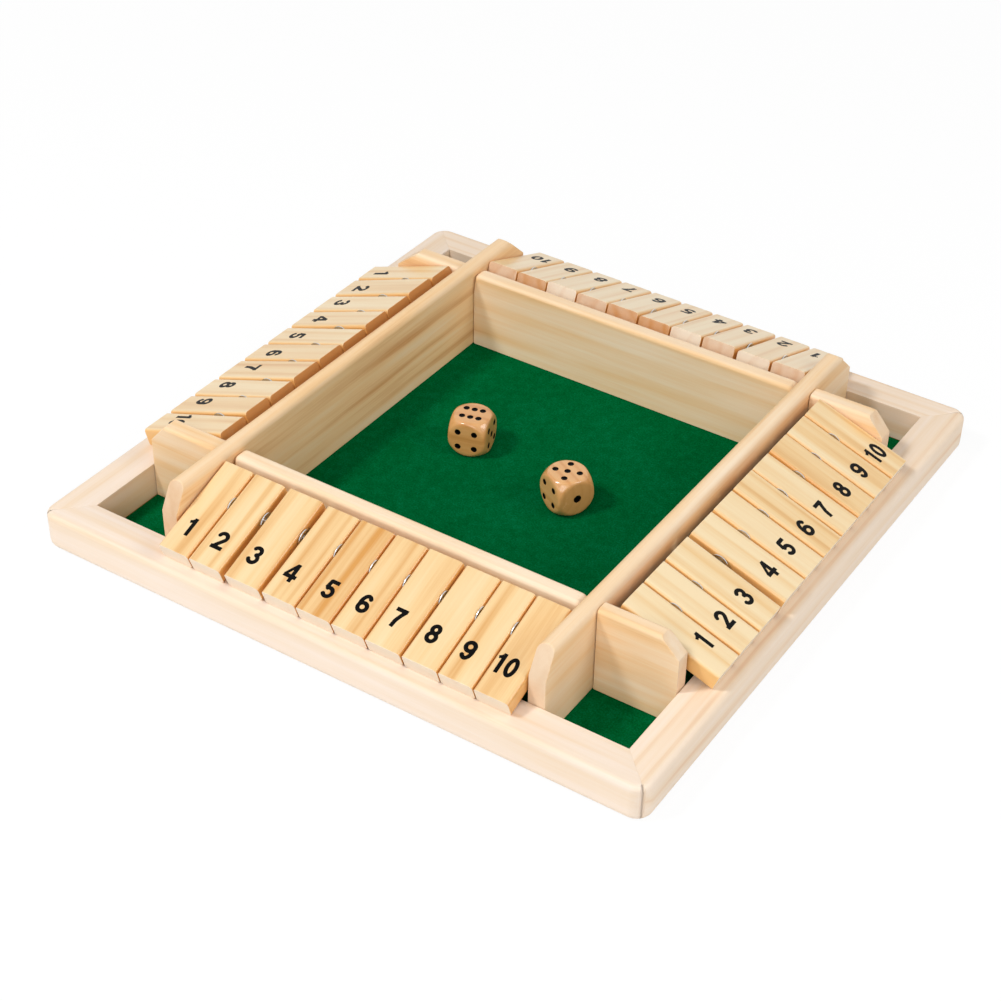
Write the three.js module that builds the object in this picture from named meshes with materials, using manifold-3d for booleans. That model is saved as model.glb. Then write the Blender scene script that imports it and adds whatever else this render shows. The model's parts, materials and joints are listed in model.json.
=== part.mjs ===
// A four-sided shut the box game: a mitred pine frame round a felt-covered board, a square dice
// tray in the middle, and on each side a row of ten numbered wooden tiles that flip over a steel rod.
// Millimetres, +Z up. The origin is on the surface that the game rests on, below the tray's centre.
// +X runs along the front row from its tile 1 to its tile 10, and +Y runs from the front to the back.

import * as THREE from 'three';
import { mergeVertices } from 'three/addons/utils/BufferGeometryUtils.js';
import Module from 'manifold-3d';

const wasm = await Module();
wasm.setup();

// Frame, base board and felt
const FRAME_SIDE = 303;
const RAIL_WIDTH = 17.3;
const RAIL_HEIGHT = 18.5;
const RAIL_CORNER_RADIUS = 7.5;
const RAIL_TOP_RADIUS = 2.4;
const RAIL_FOOT_RADIUS = 4;
const REBATE_WIDTH = 4;
const BASE_THICKNESS = 1.3;
const FELT_THICKNESS = 0.3;

// Dice tray and the boards that stand round it
const RAIL_TO_LONG_WALL = 38.2;
const RAIL_TO_SHORT_WALL = 37.8;
const BOARD_THICKNESS = 8;
const LONG_WALL_RISE_OVER_ROD = 12;
const LONG_WALL_ROUND_SHARE = 0.425;
const LONG_WALL_FRONT_CHAMFER_RUN = 7;
const LONG_WALL_BACK_CHAMFER_RUN = 14;
const LONG_WALL_CHAMFER_DROP = 12.8;
const SHORT_WALL_RISE_OVER_ROD = 8.5;
const SHORT_WALL_ROUND_SHARE = 0.275;
const SHORT_WALL_END_RADIUS = 3;

// Cheeks, of which the two at the front are of their own make
const CHEEK_THICKNESS = 8;
const CHEEK_FRONT_LEFT_THICKNESS = 9;
const CHEEK_FRONT_RIGHT_THICKNESS = 7;
const CHEEK_FRONT_STEP_OUT = 1;
const CHEEK_RISE_OVER_ROD = 8.5;
const CHEEK_FRONT_RIGHT_RISE_OVER_ROD = 10.5;
const CHEEK_CHAMFER_DROP = 9.6;
const CHEEK_FRONT_RIGHT_CHAMFER_DROP = 8.5;
const CHEEK_CHAMFER_RUN = 8.2;
const CHEEK_FRONT_RIGHT_CHAMFER_RUN = 9;
const CHEEK_BACK_LEFT_CHAMFER_RUN = 12;

// Rods and tiles
const ROD_DIAMETER = 3.8;
const ROD_HOLE_FLOOR = 2.5;
const ROD_HEIGHT_OVER_FELT = 31.5;
const SPACER_DIAMETER = 9.6;
const SPACER_THICKNESS = 0.4;
const TILES_PER_SIDE = 10;
const TILE_THICKNESS = 8.6;
const TILE_HEEL = 16.5;
const TILE_SEAT_ON_RAIL = 9.4;
const TILE_EDGE_RADIUS = 1.3;
const TILE_END_CHAMFER_SHARE = 0.6;
const BORE_SCATTER = 0.45;

// Dice
const DIE_SIZE = 18.8;
const DIE_BALL_SHARE = 1.35;
const DIE_LEFT_TURN = THREE.MathUtils.degToRad(15);
const DIE_RIGHT_TURN = THREE.MathUtils.degToRad(-28);

// Where the dice lie, as shares of the tray's width and depth from its centre
const DIE_LEFT_SHARES = [-0.2165, 0.08];
const DIE_RIGHT_SHARES = [0.1257, 0.005];

// Clearances
const JOINT_GAP = 0.3;
const MITRE_GAP = 0.24;
const REST_GAP = 0.2;
const MEAN_TILE_GAP = 1;
const ROW_END_CLEARANCE = 0.3;
const SPACER_CLEARANCE = 0.1;
const HEEL_CLEARANCE = 2.6;
const RUNNING_CLEARANCE = 0.06;
const GLUE_CLEARANCE = 0.15;
const CUT_OVERRUN = 1;

// Facets
const ROUND_SIDES = 16;
const EDGE_SEGMENTS = 2;
const BALL_SIDES = 28;
const BALL_RINGS = 20;

// How far each tile's bore was drilled off the middle of its thickness, as a share of BORE_SCATTER,
// from tile 1 to tile 10 of a row. A tile with a positive share sits a little proud of its neighbours.
const BORE_SHARES = {
  front: [0.1, -0.2, 1, -0.9, -0.3, 0.1, 0.8, -0.5, 0, 0.2],
  right: [0.2, 0.1, 0.5, -0.8, 0.1, 0.6, -0.4, 0.7, 0.1, -0.2],
  back: [0.3, -0.4, 0.5, 0, -0.6, 0.4, -0.1, 0.6, -0.3, 0.2],
  left: [-0.5, 0.6, -0.1, 0.5, -0.7, 0.2, 0.4, -0.2, 0.7, -0.4],
};

// How wide each tile was sawn, as a share of its row's mean tile, from tile 1 to tile 10
const WIDTH_SHARES = {
  front: [0.94, 0.98, 1.07, 1.01, 1.04, 0.97, 1.02, 1.01, 0.97, 0.97],
  right: [1.01, 0.97, 1.1, 1.1, 0.99, 1.01, 0.91, 0.94, 1.03, 0.95],
  back: [1.02, 1.02, 1.01, 0.98, 1.01, 0.99, 1, 0.99, 0.99, 0.98],
  left: [0.93, 1.08, 1, 0.99, 1.01, 1, 1.08, 0.96, 0.95, 1],
};

// Where a row's play has gathered, as shares of it: before tile 1, between the tiles and after tile 10
const PLAY_SHARES = {
  front: [0.1, 0, 0.5, 0.28, 0, 0, 0, 0.07, 0, 0, 0.05],
  right: [0.05, 0.04, 0.06, 0.62, 0.03, 0.03, 0.03, 0.03, 0.03, 0.04, 0.04],
  back: [0.15, 0.12, 0.28, 0.1, 0.05, 0.1, 0.05, 0.03, 0.04, 0.04, 0.04],
  left: [0.08, 0.1, 0.1, 0.08, 0.14, 0.08, 0.06, 0.12, 0.08, 0.1, 0.06],
};

// Places worked out from the sizes above
const quarter = Math.PI / 2;
const half = FRAME_SIDE / 2;
const railInner = half - RAIL_WIDTH;
const feltTop = BASE_THICKNESS + FELT_THICKNESS;
const longWallOuter = railInner - RAIL_TO_LONG_WALL;
const shortWallOuter = railInner - RAIL_TO_SHORT_WALL;
const trayHalfWidth = longWallOuter - BOARD_THICKNESS;
const trayHalfDepth = shortWallOuter - BOARD_THICKNESS;
const trayWidth = 2 * trayHalfWidth;
const trayDepth = 2 * trayHalfDepth;
const longWallHeight = ROD_HEIGHT_OVER_FELT + LONG_WALL_RISE_OVER_ROD;
const shortWallHeight = ROD_HEIGHT_OVER_FELT + SHORT_WALL_RISE_OVER_ROD;
const frontCheekOuter = shortWallOuter + CHEEK_FRONT_STEP_OUT;
const boardEnd = railInner - JOINT_GAP;
const rodRadius = ROD_DIAMETER / 2;
const rodHeight = feltTop + ROD_HEIGHT_OVER_FELT;
const spacerRoom = SPACER_THICKNESS + 2 * SPACER_CLEARANCE;
const tileEndChamfer = TILE_EDGE_RADIUS * TILE_END_CHAMFER_SHARE;
const heelReach = Math.hypot(TILE_HEEL, TILE_THICKNESS / 2 + BORE_SCATTER);
const rodOffset = Math.max(longWallOuter, shortWallOuter) + HEEL_CLEARANCE + heelReach;
const seatRun = railInner + TILE_SEAT_ON_RAIL - rodOffset;
const seatDrop = rodHeight - RAIL_HEIGHT - REST_GAP;
const seatReach = Math.sqrt(seatRun ** 2 + seatDrop ** 2 - (TILE_THICKNESS / 2) ** 2);
const tileToe = seatReach + tileEndChamfer;

// Finishes
const framePine = () => new THREE.MeshStandardMaterial({ color: 0xf2e0c8, roughness: 0.62 });
const tilePine = () => new THREE.MeshStandardMaterial({ color: 0xf0d3a2, roughness: 0.5 });
const hardboard = () => new THREE.MeshStandardMaterial({ color: 0xb98f60, roughness: 0.8 });
const greenFelt = () => new THREE.MeshStandardMaterial({ color: 0x0b5c32, roughness: 0.95 });
const brightSteel = () => new THREE.MeshStandardMaterial({ color: 0xc9ccd0, roughness: 0.2, metalness: 1 });
const lacqueredWood = () => new THREE.MeshStandardMaterial({ color: 0xcf9f63, roughness: 0.3 });

const game = new THREE.Group();

function solidFrom(geometry) {
  const bare = geometry.clone();
  bare.deleteAttribute('normal');
  bare.deleteAttribute('uv');
  const merged = mergeVertices(bare);
  const vertProperties = new Float32Array(merged.attributes.position.array);
  const triVerts = new Uint32Array(merged.index.array);
  return new wasm.Manifold(new wasm.Mesh({ numProp: 3, vertProperties, triVerts }));
}

function geometryFrom(solid) {
  const mesh = solid.getMesh();
  const indexed = new THREE.BufferGeometry();
  indexed.setAttribute('position', new THREE.BufferAttribute(mesh.vertProperties, 3));
  indexed.setIndex(new THREE.BufferAttribute(mesh.triVerts, 1));
  const geometry = indexed.toNonIndexed();
  geometry.computeVertexNormals();
  return geometry;
}

function addPiece(name, geometry, material, parent = game) {
  const mesh = new THREE.Mesh(geometry, material);
  mesh.name = name;
  parent.add(mesh);
  return mesh;
}

// A closed outline drawn in the XY plane, pushed up along +Z
function prism(outline, height) {
  const settings = { depth: height, bevelEnabled: false, curveSegments: EDGE_SEGMENTS };
  return new THREE.ExtrudeGeometry(outline, settings);
}

// The same prism stood up, so that its outline's Y is the height and it is pushed along +Y
function standingPrism(outline, length) {
  const geometry = prism(outline, length);
  geometry.rotateX(quarter);
  geometry.translate(0, length, 0);
  return geometry;
}

function rodGeometry(radius, length) {
  const geometry = new THREE.CylinderGeometry(radius, radius, length, ROUND_SIDES);
  geometry.rotateZ(quarter);
  return geometry;
}

// A faceted hole whose flats stand clear of a round rod
function holeGeometry(clearance, length) {
  const cornerRadius = (rodRadius + clearance) / Math.cos(Math.PI / ROUND_SIDES);
  return rodGeometry(cornerRadius, length);
}

// Frame rails: mitred at the corners, with a rebate below for the base board

// The front rail seen from above, with its two outer corners rounded up to the mitres
function railPlan() {
  const mitreShift = MITRE_GAP / Math.SQRT2;
  const arcCentre = half - RAIL_CORNER_RADIUS;
  const mitreTurn = Math.asin(mitreShift / (RAIL_CORNER_RADIUS * Math.SQRT2));
  const mitreAngle = Math.PI / 4 + mitreTurn;
  const innerEnd = railInner - mitreShift;
  const plan = new THREE.Shape();
  plan.moveTo(innerEnd, -railInner);
  plan.lineTo(-innerEnd, -railInner);
  plan.absarc(-arcCentre, -arcCentre, RAIL_CORNER_RADIUS, Math.PI + mitreAngle, 3 * quarter, false);
  plan.absarc(arcCentre, -arcCentre, RAIL_CORNER_RADIUS, -quarter, -mitreAngle, false);
  return plan;
}

// The rail's section: X is the distance outwards from its inner face, Y is the height
function railSection() {
  const rebateHeight = BASE_THICKNESS + REST_GAP;
  const topCentre = RAIL_HEIGHT - RAIL_TOP_RADIUS;
  const section = new THREE.Shape();
  section.moveTo(0, RAIL_HEIGHT);
  section.lineTo(0, rebateHeight);
  section.lineTo(REBATE_WIDTH, rebateHeight);
  section.lineTo(REBATE_WIDTH, 0);
  section.absarc(RAIL_WIDTH - RAIL_FOOT_RADIUS, RAIL_FOOT_RADIUS, RAIL_FOOT_RADIUS, -quarter, 0, false);
  section.absarc(RAIL_WIDTH - RAIL_TOP_RADIUS, topCentre, RAIL_TOP_RADIUS, 0, quarter, false);
  return section;
}

function railGeometry() {
  const plan = prism(railPlan(), RAIL_HEIGHT);
  const bar = standingPrism(railSection(), FRAME_SIDE);
  bar.rotateZ(-quarter);
  bar.translate(-half, -railInner, 0);
  return geometryFrom(solidFrom(plan).intersect(solidFrom(bar)));
}

function addFrame() {
  const rail = railGeometry();
  ['front', 'right', 'back', 'left'].forEach((side, turns) => {
    addPiece(`rail_${side}`, rail, framePine()).rotation.z = turns * quarter;
  });
}

// Base board in the rails' rebate, and the felt that covers it inside the frame

function squareOutline(side) {
  const edge = side / 2;
  const outline = new THREE.Shape();
  outline.moveTo(-edge, -edge);
  outline.lineTo(edge, -edge);
  outline.lineTo(edge, edge);
  outline.lineTo(-edge, edge);
  return outline;
}

function addFloor() {
  const boardSide = 2 * (railInner + REBATE_WIDTH - JOINT_GAP);
  const feltSide = 2 * (railInner - JOINT_GAP);
  addPiece('base_board', prism(squareOutline(boardSide), BASE_THICKNESS), hardboard());
  const felt = addPiece('felt_sheet', prism(squareOutline(feltSide), FELT_THICKNESS), greenFelt());
  felt.position.z = BASE_THICKNESS;
}

// Upright boards: a face outline pushed through the thickness, with the top edges rounded along it

// The section of a board across its thickness, with both edges of its top rounded
function boardSection(height, thickness, roundShare) {
  const topRadius = BOARD_THICKNESS * roundShare;
  const section = new THREE.Shape();
  section.moveTo(0, 0);
  section.lineTo(thickness, 0);
  section.absarc(thickness - topRadius, height - topRadius, topRadius, 0, quarter, false);
  section.absarc(topRadius, height - topRadius, topRadius, quarter, 2 * quarter, false);
  return section;
}

// A board that runs along X from the outline's own places, with its thickness along +Y
function boardSolid(outline, height, thickness, roundShare) {
  const face = standingPrism(outline, thickness);
  const bar = standingPrism(boardSection(height, thickness, roundShare), FRAME_SIDE);
  bar.rotateZ(-quarter);
  bar.translate(-half, thickness, 0);
  return solidFrom(face).intersect(solidFrom(bar));
}

// A blind hole for a rod in the inner face of a board
function rodHole(x, thickness) {
  const depth = thickness - ROD_HOLE_FLOOR;
  const hole = holeGeometry(GLUE_CLEARANCE, depth + CUT_OVERRUN);
  hole.rotateZ(quarter);
  hole.translate(x, (depth - CUT_OVERRUN) / 2, ROD_HEIGHT_OVER_FELT);
  return solidFrom(hole);
}

// The left wall before it is turned into place: its front end is at -X and its back end at +X
function longWallGeometry() {
  const chamferFoot = longWallHeight - LONG_WALL_CHAMFER_DROP;
  const outline = new THREE.Shape();
  outline.moveTo(-boardEnd, 0);
  outline.lineTo(boardEnd, 0);
  outline.lineTo(boardEnd, chamferFoot);
  outline.lineTo(boardEnd - LONG_WALL_BACK_CHAMFER_RUN, longWallHeight);
  outline.lineTo(LONG_WALL_FRONT_CHAMFER_RUN - boardEnd, longWallHeight);
  outline.lineTo(-boardEnd, chamferFoot);
  const board = boardSolid(outline, longWallHeight, BOARD_THICKNESS, LONG_WALL_ROUND_SHARE);
  const frontHole = rodHole(-rodOffset, BOARD_THICKNESS);
  const backHole = rodHole(rodOffset, BOARD_THICKNESS);
  const geometry = geometryFrom(board.subtract(frontHole).subtract(backHole));
  geometry.translate(0, trayHalfWidth, 0);
  return geometry;
}

function shortWallGeometry() {
  const end = trayHalfWidth - JOINT_GAP;
  const arcPlace = end - SHORT_WALL_END_RADIUS;
  const arcHeight = shortWallHeight - SHORT_WALL_END_RADIUS;
  const outline = new THREE.Shape();
  outline.moveTo(-end, 0);
  outline.lineTo(end, 0);
  outline.absarc(arcPlace, arcHeight, SHORT_WALL_END_RADIUS, 0, quarter, false);
  outline.absarc(-arcPlace, arcHeight, SHORT_WALL_END_RADIUS, quarter, 2 * quarter, false);
  const wall = boardSolid(outline, shortWallHeight, BOARD_THICKNESS, SHORT_WALL_ROUND_SHARE);
  const geometry = geometryFrom(wall);
  geometry.translate(0, trayHalfDepth, 0);
  return geometry;
}

// A cheek runs from the long wall out to the rail, and its inner face holds the end of a side rod
function cheekGeometry(outer, thickness, rise, chamferRun, chamferDrop) {
  const start = longWallOuter + JOINT_GAP;
  const height = ROD_HEIGHT_OVER_FELT + rise;
  const arcPlace = start + SHORT_WALL_END_RADIUS;
  const arcHeight = height - SHORT_WALL_END_RADIUS;
  const outline = new THREE.Shape();
  outline.moveTo(start, 0);
  outline.lineTo(boardEnd, 0);
  outline.lineTo(boardEnd, height - chamferDrop);
  outline.lineTo(boardEnd - chamferRun, height);
  outline.absarc(arcPlace, arcHeight, SHORT_WALL_END_RADIUS, quarter, 2 * quarter, false);
  const board = boardSolid(outline, height, thickness, SHORT_WALL_ROUND_SHARE);
  const geometry = geometryFrom(board.subtract(rodHole(rodOffset, thickness)));
  geometry.translate(0, outer - thickness, 0);
  return geometry;
}

function backCheekGeometry(chamferRun) {
  const rise = CHEEK_RISE_OVER_ROD;
  return cheekGeometry(shortWallOuter, CHEEK_THICKNESS, rise, chamferRun, CHEEK_CHAMFER_DROP);
}

function frontLeftCheekGeometry() {
  const thickness = CHEEK_FRONT_LEFT_THICKNESS;
  const rise = CHEEK_RISE_OVER_ROD;
  return cheekGeometry(frontCheekOuter, thickness, rise, CHEEK_CHAMFER_RUN, CHEEK_CHAMFER_DROP);
}

function frontRightCheekGeometry() {
  const thickness = CHEEK_FRONT_RIGHT_THICKNESS;
  const rise = CHEEK_FRONT_RIGHT_RISE_OVER_ROD;
  const chamferRun = CHEEK_FRONT_RIGHT_CHAMFER_RUN;
  const chamferDrop = CHEEK_FRONT_RIGHT_CHAMFER_DROP;
  return cheekGeometry(frontCheekOuter, thickness, rise, chamferRun, chamferDrop);
}

function mirroredInX(geometry) {
  const mirror = solidFrom(geometry).mirror([1, 0, 0]);
  return geometryFrom(mirror);
}

function addBoards() {
  const longWall = longWallGeometry();
  const shortWall = shortWallGeometry();
  const boards = [
    ['long_wall_left', longWall, quarter],
    ['long_wall_right', mirroredInX(longWall), -quarter],
    ['short_wall_back', shortWall, 0],
    ['short_wall_front', shortWall, 2 * quarter],
    ['cheek_back_right', backCheekGeometry(CHEEK_CHAMFER_RUN), 0],
    ['cheek_back_left', mirroredInX(backCheekGeometry(CHEEK_BACK_LEFT_CHAMFER_RUN)), 0],
    ['cheek_front_left', frontLeftCheekGeometry(), 2 * quarter],
    ['cheek_front_right', mirroredInX(frontRightCheekGeometry()), 2 * quarter],
  ];
  for (const [name, geometry, turn] of boards) {
    const board = addPiece(name, geometry, framePine());
    board.rotation.z = turn;
    board.position.z = feltTop;
  }
}

// Rows: one rod and ten tiles, made for the front and turned to each side

// The first values of a table, which starts again where it is too short
function firstValues(table, count) {
  return Array.from({ length: count }, (_, index) => table[index % table.length]);
}

function sum(values) {
  return values.reduce((total, value) => total + value, 0);
}

// Each tile's width and middle along its row, and the middles of the gaps that hold a washer
function rowLayout(side, span) {
  const allGaps = TILES_PER_SIDE * MEAN_TILE_GAP;
  const widthShares = firstValues(WIDTH_SHARES[side], TILES_PER_SIDE);
  const playShares = firstValues(PLAY_SHARES[side], TILES_PER_SIDE + 1);
  const play = allGaps - (TILES_PER_SIDE - 1) * spacerRoom - 2 * ROW_END_CLEARANCE;
  const widthPerShare = (span - allGaps) / sum(widthShares);
  const playPerShare = play / sum(playShares);
  const tiles = [];
  const spacers = [];
  let place = -span / 2;
  for (let index = 0; index < TILES_PER_SIDE; index += 1) {
    const least = index === 0 ? ROW_END_CLEARANCE : spacerRoom;
    const gap = least + playShares[index] * playPerShare;
    const width = widthShares[index] * widthPerShare;
    if (index > 0) {
      spacers.push(place + gap / 2);
    }
    tiles.push({ width, middle: place + gap + width / 2 });
    place += gap + width;
  }
  return { tiles, spacers };
}

// The rod with the steel washers that keep the tiles apart, which are collars on it here
function rodWithSpacers(start, end, spacers) {
  const washer = solidFrom(rodGeometry(SPACER_DIAMETER / 2, SPACER_THICKNESS));
  const bar = rodGeometry(rodRadius, end - start);
  bar.translate((start + end) / 2, 0, 0);
  let rod = solidFrom(bar);
  for (const place of spacers) {
    rod = rod.add(washer.translate([place, 0, 0]));
  }
  return geometryFrom(rod);
}

// A tile lies along Y with its toe at -Y, its number face up and its rod through the origin
function tileGeometry(width, boreOffset) {
  const edge = TILE_EDGE_RADIUS - tileEndChamfer;
  const cornerX = width / 2 - TILE_EDGE_RADIUS;
  const cornerZ = TILE_THICKNESS / 2 - TILE_EDGE_RADIUS;
  const section = new THREE.Shape();
  section.absarc(cornerX, cornerZ, edge, 0, quarter, false);
  section.absarc(-cornerX, cornerZ, edge, quarter, 2 * quarter, false);
  section.absarc(-cornerX, -cornerZ, edge, 2 * quarter, 3 * quarter, false);
  section.absarc(cornerX, -cornerZ, edge, 3 * quarter, 4 * quarter, false);
  const length = tileToe + TILE_HEEL;
  const block = new THREE.ExtrudeGeometry(section, {
    depth: length - 2 * tileEndChamfer,
    bevelEnabled: true,
    bevelThickness: tileEndChamfer,
    bevelSize: tileEndChamfer,
    bevelSegments: 1,
    curveSegments: EDGE_SEGMENTS,
  });
  block.rotateX(quarter);
  block.translate(0, TILE_HEEL - tileEndChamfer, boreOffset);
  const bore = holeGeometry(RUNNING_CLEARANCE, width + 2 * CUT_OVERRUN);
  return geometryFrom(solidFrom(block).subtract(solidFrom(bore)));
}

// The slope at which the lower edge of a tile's toe comes down to the rail
function restSlope(boreOffset) {
  const below = TILE_THICKNESS / 2 - boreOffset;
  return Math.asin(seatDrop / Math.hypot(seatReach, below)) - Math.atan2(below, seatReach);
}

// A row's rod ends inside the boards at its tile 1 and at its tile 10, whose outer faces are given
function addRow(side, turns, span, firstOuter, lastOuter) {
  const row = new THREE.Group();
  row.rotation.z = turns * quarter;
  game.add(row);

  const { tiles, spacers } = rowLayout(side, span);
  const start = ROD_HOLE_FLOOR + JOINT_GAP - firstOuter;
  const end = lastOuter - ROD_HOLE_FLOOR - JOINT_GAP;
  const rod = addPiece(`rod_${side}`, rodWithSpacers(start, end, spacers), brightSteel(), row);
  rod.position.set(0, -rodOffset, rodHeight);

  const boreShares = firstValues(BORE_SHARES[side], TILES_PER_SIDE);
  tiles.forEach(({ width, middle }, index) => {
    const boreOffset = boreShares[index] * BORE_SCATTER;
    const name = `tile_${side}_${String(index + 1).padStart(2, '0')}`;
    const tile = addPiece(name, tileGeometry(width, boreOffset), tilePine(), row);
    tile.rotation.x = restSlope(boreOffset);
    tile.position.set(middle, -rodOffset, rodHeight);
  });
}

function addRows() {
  addRow('front', 0, trayWidth, longWallOuter, longWallOuter);
  addRow('right', 1, trayDepth, frontCheekOuter, shortWallOuter);
  addRow('back', 2, trayWidth, longWallOuter, longWallOuter);
  addRow('left', 3, trayDepth, shortWallOuter, frontCheekOuter);
}

// Dice: cubes whose edges and corners are turned down to a ball, so that each face is a flat disc

function dieGeometry() {
  const cube = solidFrom(new THREE.BoxGeometry(DIE_SIZE, DIE_SIZE, DIE_SIZE));
  const ballRadius = DIE_SIZE * DIE_BALL_SHARE / 2;
  const ball = solidFrom(new THREE.SphereGeometry(ballRadius, BALL_SIDES, BALL_RINGS));
  return geometryFrom(cube.intersect(ball));
}

function addDice() {
  const die = dieGeometry();
  const dice = [
    ['die_left', DIE_LEFT_SHARES, DIE_LEFT_TURN],
    ['die_right', DIE_RIGHT_SHARES, DIE_RIGHT_TURN],
  ];
  for (const [name, [widthShare, depthShare], turn] of dice) {
    const piece = addPiece(name, die, lacqueredWood());
    piece.position.x = widthShare * trayWidth;
    piece.position.y = depthShare * trayDepth;
    piece.position.z = feltTop + REST_GAP + DIE_SIZE / 2;
    piece.rotation.z = turn;
  }
}

addFrame();
addFloor();
addBoards();
addRows();
addDice();

export default game;
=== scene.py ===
# %% [markdown]
# # A four-sided shut the box game
#
# The real game is a shallow pine tray. Four mitred rails hold a felt floor, upright boards make a
# square dice tray in the middle, and ten numbered tiles turn on a steel rod along each side.
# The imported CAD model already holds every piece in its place, with its joints. Blender's work is
# what the hand and the eye meet: eased edges, pine grain, printed numbers, felt and lacquer.

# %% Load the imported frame
import json
import math
import random

import bmesh
import bpy
from mathutils import Matrix, Vector


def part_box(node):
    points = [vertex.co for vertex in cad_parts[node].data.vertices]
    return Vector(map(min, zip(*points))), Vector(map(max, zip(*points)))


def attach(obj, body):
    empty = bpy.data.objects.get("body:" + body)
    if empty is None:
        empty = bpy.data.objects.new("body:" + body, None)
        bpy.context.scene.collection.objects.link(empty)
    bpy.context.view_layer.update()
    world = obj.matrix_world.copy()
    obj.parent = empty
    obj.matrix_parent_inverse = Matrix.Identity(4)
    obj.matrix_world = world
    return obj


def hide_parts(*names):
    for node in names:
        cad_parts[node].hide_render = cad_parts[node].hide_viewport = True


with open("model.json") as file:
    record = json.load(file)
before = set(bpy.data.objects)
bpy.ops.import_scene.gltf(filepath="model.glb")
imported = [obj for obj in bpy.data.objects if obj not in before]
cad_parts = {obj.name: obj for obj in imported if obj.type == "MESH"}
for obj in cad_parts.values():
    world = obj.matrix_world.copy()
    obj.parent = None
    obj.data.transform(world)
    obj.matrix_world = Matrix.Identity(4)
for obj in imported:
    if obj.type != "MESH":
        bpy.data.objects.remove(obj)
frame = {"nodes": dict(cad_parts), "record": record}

MM = 0.001
nodes = frame["nodes"]
bodies = frame["record"]["behaviour"]["bodies"]
body_of = {node: body for body, members in bodies.items() for node in members}
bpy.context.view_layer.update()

# %% [markdown]
# ## Colours and nodes
#
# Colours are picked as sRGB hex values, the way a paint chart or a photograph gives them, but the
# renderer adds up light in linear values. One function does the change. A second one adds a shader
# node with its settings and its links in one line, so that a material reads like a recipe.

# %% Helpers for materials
def colour(hex_value):
    """An sRGB hex value such as "F2E0C8", as linear red, green, blue and alpha."""
    channels = [int(hex_value[i:i + 2], 16) / 255 for i in (0, 2, 4)]
    linear = [c / 12.92 if c <= 0.04045 else ((c + 0.055) / 1.055) ** 2.4 for c in channels]
    return (*linear, 1.0)


def new_material(name):
    """A material with a single Principled shader, and that shader."""
    material = bpy.data.materials.new(name)
    material.use_nodes = True
    shader = material.node_tree.nodes["Principled BSDF"]
    return material, shader


def add(tree, kind, inputs=None, **settings):
    """Adds a node. An input is given a value, or another node's output to link from."""
    node = tree.nodes.new(kind)
    for name, value in settings.items():
        setattr(node, name, value)
    for name, value in (inputs or {}).items():
        if isinstance(value, bpy.types.NodeSocket):
            tree.links.new(value, node.inputs[name])
        else:
            node.inputs[name].default_value = value
    return node


def set_shader(material, values):
    """Sets constants on the inputs of a material's own shader."""
    for name, value in values.items():
        material.node_tree.nodes["Principled BSDF"].inputs[name].default_value = value


def share_added(tree, value, share, base):
    """A share of one value, added to another."""
    return add(tree, "ShaderNodeMath", {0: value, 1: share, 2: base},
               operation="MULTIPLY_ADD").outputs[0]


def noise(tree, place, scale, detail, roughness=0.5):
    """Noise at a place. A higher scale makes it finer."""
    return add(tree, "ShaderNodeTexNoise", {
        "Vector": place, "Scale": scale, "Detail": detail, "Roughness": roughness,
    }).outputs["Fac"]


def set_ramp(ramp, stops):
    """Fills a Color Ramp with (position, colour) stops."""
    elements = ramp.color_ramp.elements
    while len(elements) < len(stops):
        elements.new(0.5)
    for element, (position, value) in zip(elements, stops):
        element.position = position
        element.color = value


# %% [markdown]
# ## Pine
#
# Every board in this game is sawn from pine, so one recipe serves them all. A tree grows in rings
# round its pith, each ring pale where it grew in spring and orange where it slowed in autumn. The
# material builds that solid: it measures the distance from the pith, in millimetres, and turns it
# into rings, so a face sawn along the trunk shows streaks and a sawn end shows arcs, with no seam
# between them. It reads an attribute called grain, which holds each point's place in the plank
# that its piece was cut from: X runs along the fibres, and the pith is the X axis.
#
# Fine fibres, broader streaks and slow patches, all drawn out along the trunk, break the rings up
# and keep two tiles from looking alike. More attributes say how each face is coloured: tone makes a
# whole piece paler or deeper, end_grain says how squarely a face cuts the fibres, since sawn ends
# take the finish differently, and a last one gives painted shade: how deeply a side is tinted a
# deeper orange for the warm shade that falls in the gaps between neighbouring tiles.

# %% A pine recipe
RING_PERIOD_IN_WAVE = 2 * math.pi / 20
RING_STRETCH = (0.12, 1, 1)  # the scale of each pattern along the fibres and across them
FIBRE_STRETCH = (0.045, 1.5, 1.5)
STREAK_STRETCH = (0.01, 0.4, 0.4)
PATCH_STRETCH = (0.012, 0.11, 0.11)
FIBRE_SHARE = 0.3
STREAK_SHARE = 0.6
YEAR = ((0.0, 0.25), (0.1, 0), (0.45, 0.12), (0.86, 1), (1.0, 0.3))  # how deep, from spring to spring
PALEST, DEEPEST = 0.15, 1.3
END_PATTERN_SHARE = 0.35
GLOSS_SPREAD = 0.07
FIBRE_RELIEF = 0.12 * MM
# Painted shade: the tint that deepens the sides of the tiles, for the warm shade in the gaps between them
SIDE_SHADE_TINT = "F6DAAE"


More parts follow.
